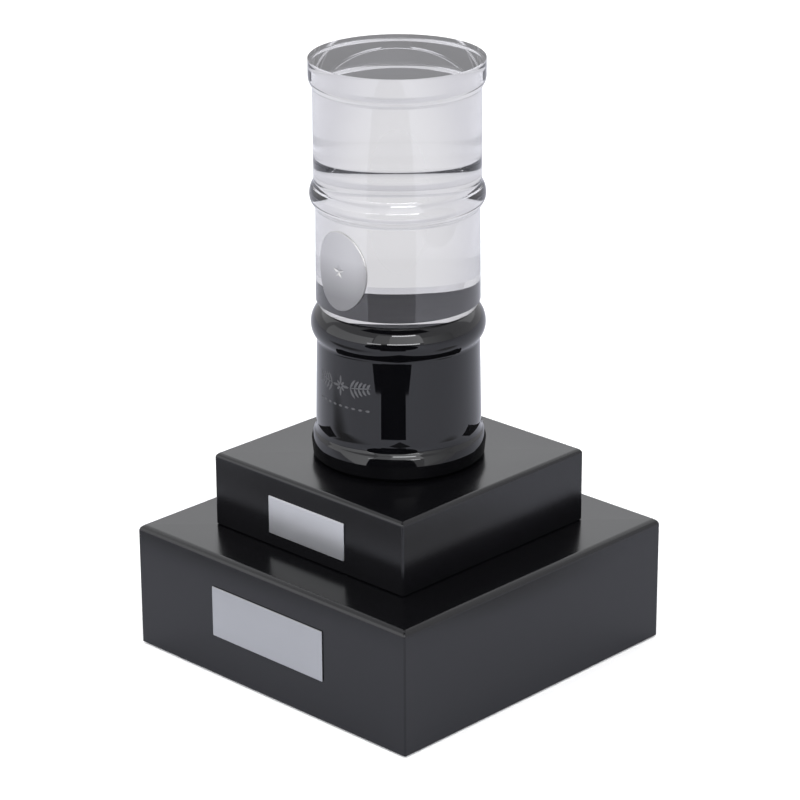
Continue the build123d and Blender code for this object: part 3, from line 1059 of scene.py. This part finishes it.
def make_floor():
    """A plain pale floor: white to the camera, bluish grey to everything else."""
    material = bpy.data.materials.new("pale_floor")
    material.use_nodes = True
    nodes, links = material.node_tree.nodes, material.node_tree.links
    shader = nodes["Principled BSDF"]
    shader.inputs["Roughness"].default_value = 0.9
    shader.inputs["Specular IOR Level"].default_value = 0.0
    seen = {"Is Transmission Ray": (0.63, 0.63, 0.66), "Is Camera Ray": (1.15, 1.15, 1.15)}
    colour = by_ray(nodes, links, (0.63, 0.64, 0.71), seen)
    links.new(colour, shader.inputs["Base Color"])
    bm = bmesh.new()
    bm.faces.new(loop(bm, at_height(circle((0, 0), FLOOR_RADIUS, steps=96), 0)))
    stand_in_studio("floor", bm, material).visible_camera = True


def make_world():
    """A pale studio all round, plain white where the camera sees it."""
    world = bpy.data.worlds.new("studio")
    bpy.context.scene.world = world
    world.use_nodes = True
    nodes, links = world.node_tree.nodes, world.node_tree.links
    nodes.clear()
    seen = {
        "Is Transmission Ray": (0.84, 0.84, 0.84),
        "Is Glossy Ray": (0.84, 0.84, 0.87),
        "Is Camera Ray": (1.0, 1.0, 1.0),
    }
    colour = by_ray(nodes, links, (0.99, 0.985, 0.985), seen)
    background = nodes.new("ShaderNodeBackground")
    links.new(colour, background.inputs["Color"])
    links.new(second_mirror(nodes, links), background.inputs["Strength"])
    output = nodes.new("ShaderNodeOutputWorld")
    links.new(background.outputs[0], output.inputs["Surface"])


def make_mat(name, centre, reach, strength, refracted=False):
    """A soft-edged patch on the floor, seen only in mirrors, or only refracted."""
    material = bpy.data.materials.new(name)
    material.use_nodes = True
    nodes, links = material.node_tree.nodes, material.node_tree.links
    nodes.clear()
    fall = nodes.new("ShaderNodeTexGradient")
    fall.gradient_type = "SPHERICAL"
    links.new(nodes.new("ShaderNodeTexCoord").outputs["Object"], fall.inputs["Vector"])
    solid = nodes.new("ShaderNodeMapRange")
    solid.interpolation_type = "SMOOTHSTEP"
    solid.inputs["From Max"].default_value = MAT_SOFTNESS
    links.new(fall.outputs["Fac"], solid.inputs["Value"])
    glow = nodes.new("ShaderNodeEmission")
    glow.inputs["Color"].default_value = MAT_WHITE
    glow.inputs["Strength"].default_value = strength
    mix = nodes.new("ShaderNodeMixShader")
    links.new(solid.outputs["Result"], mix.inputs["Fac"])
    links.new(nodes.new("ShaderNodeBsdfTransparent").outputs[0], mix.inputs[1])
    links.new(glow.outputs[0], mix.inputs[2])
    output = nodes.new("ShaderNodeOutputMaterial")
    links.new(mix.outputs[0], output.inputs["Surface"])
    bm = bmesh.new()
    bm.faces.new(loop(bm, at_height(circle((0, 0), 1), 0)))
    mat = stand_in_studio(name, bm, material)
    mat.location = (*centre, MAT_Z)
    mat.scale = (*reach, 1)
    mat.visible_diffuse = False
    mat.visible_glossy = not refracted
    mat.visible_transmission = refracted
    mat.visible_shadow = False


def make_lights():
    """The cards, patches and flags of a small light tent round the column."""
    for name, (azimuths, elevations, distance, left, right) in CARDS.items():
        card(name, azimuths, elevations, distance, emission(name, left, right, COOL_WHITE))
    for name, settings in MATS.items():
        make_mat(name, *settings)
    make_mat("far_pool", *FAR_POOL, refracted=True)
    flags = {name: flag(name, *settings) for name, settings in FLAGS.items()}
    # Of all the cards, only the ceiling shows through the crystal too.
    flags["dark_ceiling"].visible_transmission = True


make_camera()
make_floor()
make_world()
make_lights()
bpy.context.scene.view_settings.view_transform = "Standard"
